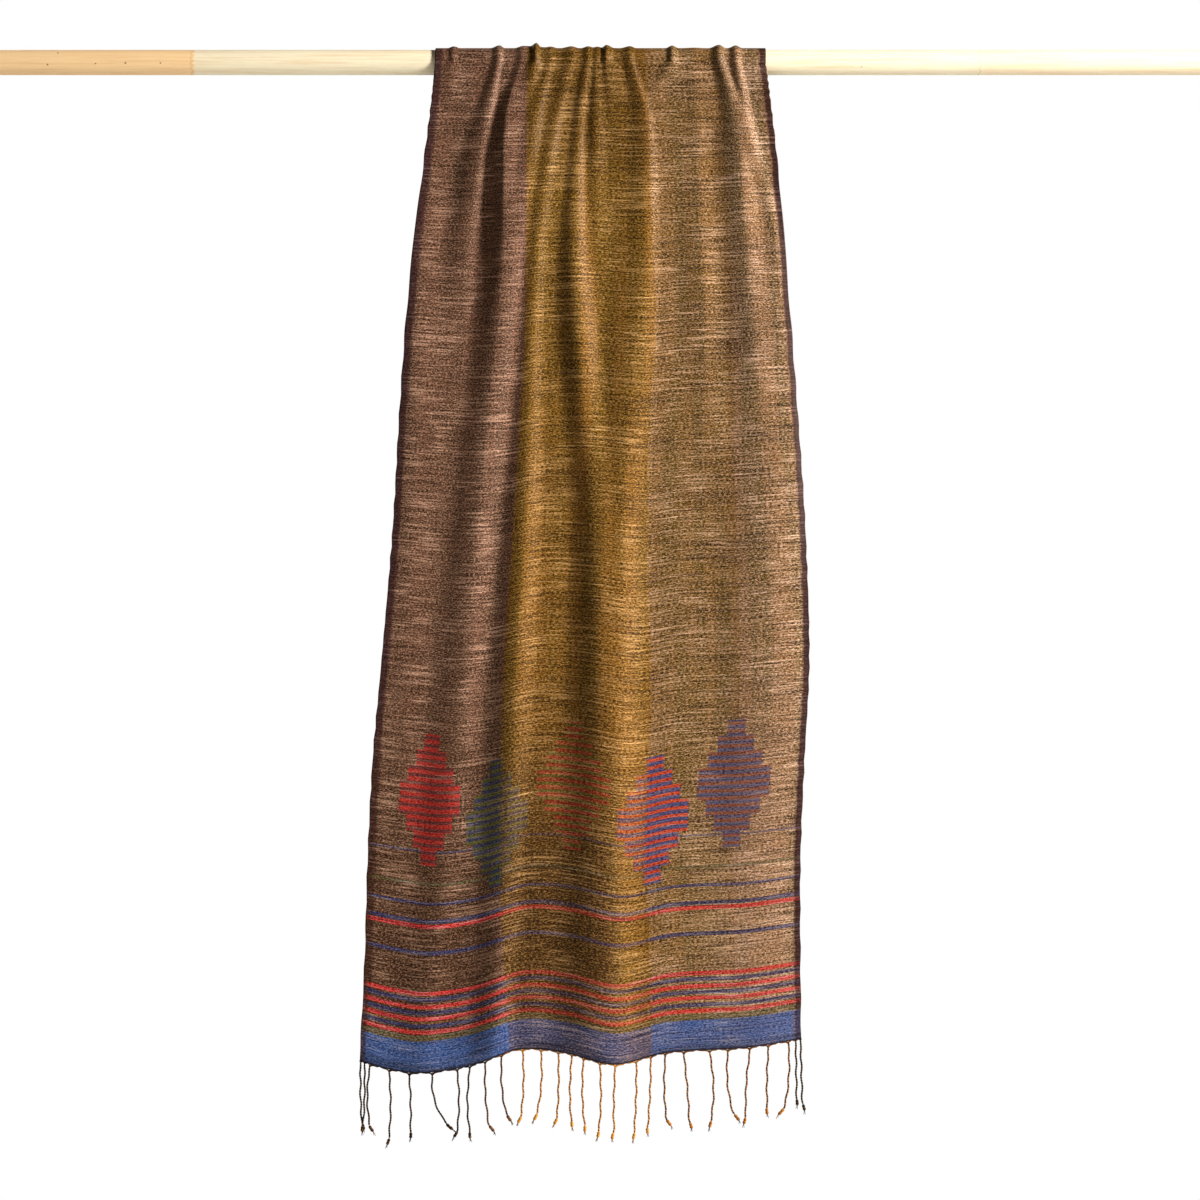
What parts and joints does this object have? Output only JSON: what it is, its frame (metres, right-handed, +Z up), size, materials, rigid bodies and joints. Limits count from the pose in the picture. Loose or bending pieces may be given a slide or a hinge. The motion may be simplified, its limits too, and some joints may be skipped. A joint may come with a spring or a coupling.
{
  "type": "silk scarf over a wooden rod",
  "caption": "Long hand-woven silk scarf with knotted fringes, draped over a round wooden rod and gathered there, its front fall a little longer than the back one.",
  "frame": {"origin": "on the rod's axis, at the middle of its length, where the rod is held", "axes": "+X along the rod, to the right of someone who faces the front fall; +Y from the front fall to the back fall; +Z up"},
  "size_m": [1.25, 0.0544, 1.1059],
  "materials": {
    "silk_cloth": "slubby hand-woven raw silk, satin sheen",
    "silk_fringe": "twisted silk thread, knotted",
    "rod_wood": "pale smooth pine, finger-jointed"
  },
  "bodies": {
    "root": {"rod": "rod_wood", "cloth_turn": "silk_cloth", "cloth_front": "silk_cloth", "cloth_back": "silk_cloth", "fringe_front": "silk_fringe", "fringe_back": "silk_fringe"}
  },
  "joints": []
}
